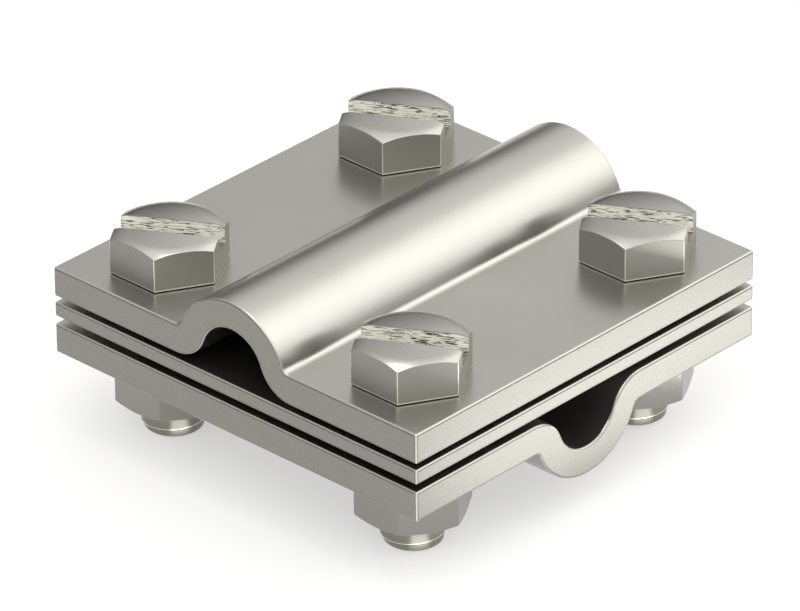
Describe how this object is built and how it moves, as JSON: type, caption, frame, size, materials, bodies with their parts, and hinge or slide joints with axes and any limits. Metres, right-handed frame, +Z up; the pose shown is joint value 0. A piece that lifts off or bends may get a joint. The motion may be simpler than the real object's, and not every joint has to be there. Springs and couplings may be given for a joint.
{
  "type": "cross connector clamp",
  "caption": "Bolted clamp that joins crossing round conductors: pressed plates with half-round channels over and under a flat plate.",
  "frame": {"origin": "under the middle of the plates, level with the ends of the bolts that the clamp stands on", "axes": "+Z up, from the nuts to the bolt heads; +X along the lower channel; +Y along the upper channel"},
  "size_m": [0.06, 0.06, 0.0288],
  "materials": {
    "pressed_plate": "satin stainless steel, pickled after pressing",
    "flat_plate": "satin stainless steel sheet with cut edges",
    "bolt": "cold-headed stainless steel with a milled slot",
    "nut": "cold-formed stainless steel"
  },
  "bodies": {
    "base": {"bottom_plate": "pressed_plate", "nut_front_left": "nut", "nut_front_right": "nut", "nut_back_left": "nut", "nut_back_right": "nut"},
    "upper": {"top_plate": "pressed_plate"},
    "middle": {"intermediate_plate": "flat_plate"},
    "bolt_front_left": {"bolt_front_left": "bolt"},
    "bolt_front_right": {"bolt_front_right": "bolt"},
    "bolt_back_left": {"bolt_back_left": "bolt"},
    "bolt_back_right": {"bolt_back_right": "bolt"}
  },
  "joints": [
    {"name": "clamp_slide", "type": "slide", "parent": "base", "child": "upper", "axis": [0, 0, 1], "range_m": [-0.00179, 0.005]},
    {"name": "middle_slide", "type": "slide", "parent": "base", "child": "middle", "axis": [0, 0, 1], "range_m": [-0.00101, 0.00279]},
    {"name": "turn_front_left", "type": "hinge", "parent": "upper", "child": "bolt_front_left", "pos_m": [-0.02, -0.02, 0.0224], "axis": [0, 0, 1], "range_deg": [-519, 1443]},
    {"name": "turn_front_right", "type": "hinge", "parent": "upper", "child": "bolt_front_right", "pos_m": [0.02, -0.02, 0.0224], "axis": [0, 0, 1], "range_deg": [-519, 1443]},
    {"name": "turn_back_left", "type": "hinge", "parent": "upper", "child": "bolt_back_left", "pos_m": [-0.02, 0.02, 0.0224], "axis": [0, 0, 1], "range_deg": [-519, 1443]},
    {"name": "turn_back_right", "type": "hinge", "parent": "upper", "child": "bolt_back_right", "pos_m": [0.02, 0.02, 0.0224], "axis": [0, 0, 1], "range_deg": [-519, 1443]}
  ],
  "couplings": [
    {"joint": "middle_slide", "follows": "clamp_slide", "ratio": 0.55556},
    {"joint": "turn_front_left", "follows": "clamp_slide", "rad_per_m": 5026.5},
    {"joint": "turn_front_right", "follows": "clamp_slide", "rad_per_m": 5026.5},
    {"joint": "turn_back_left", "follows": "clamp_slide", "rad_per_m": 5026.5},
    {"joint": "turn_back_right", "follows": "clamp_slide", "rad_per_m": 5026.5}
  ]
}
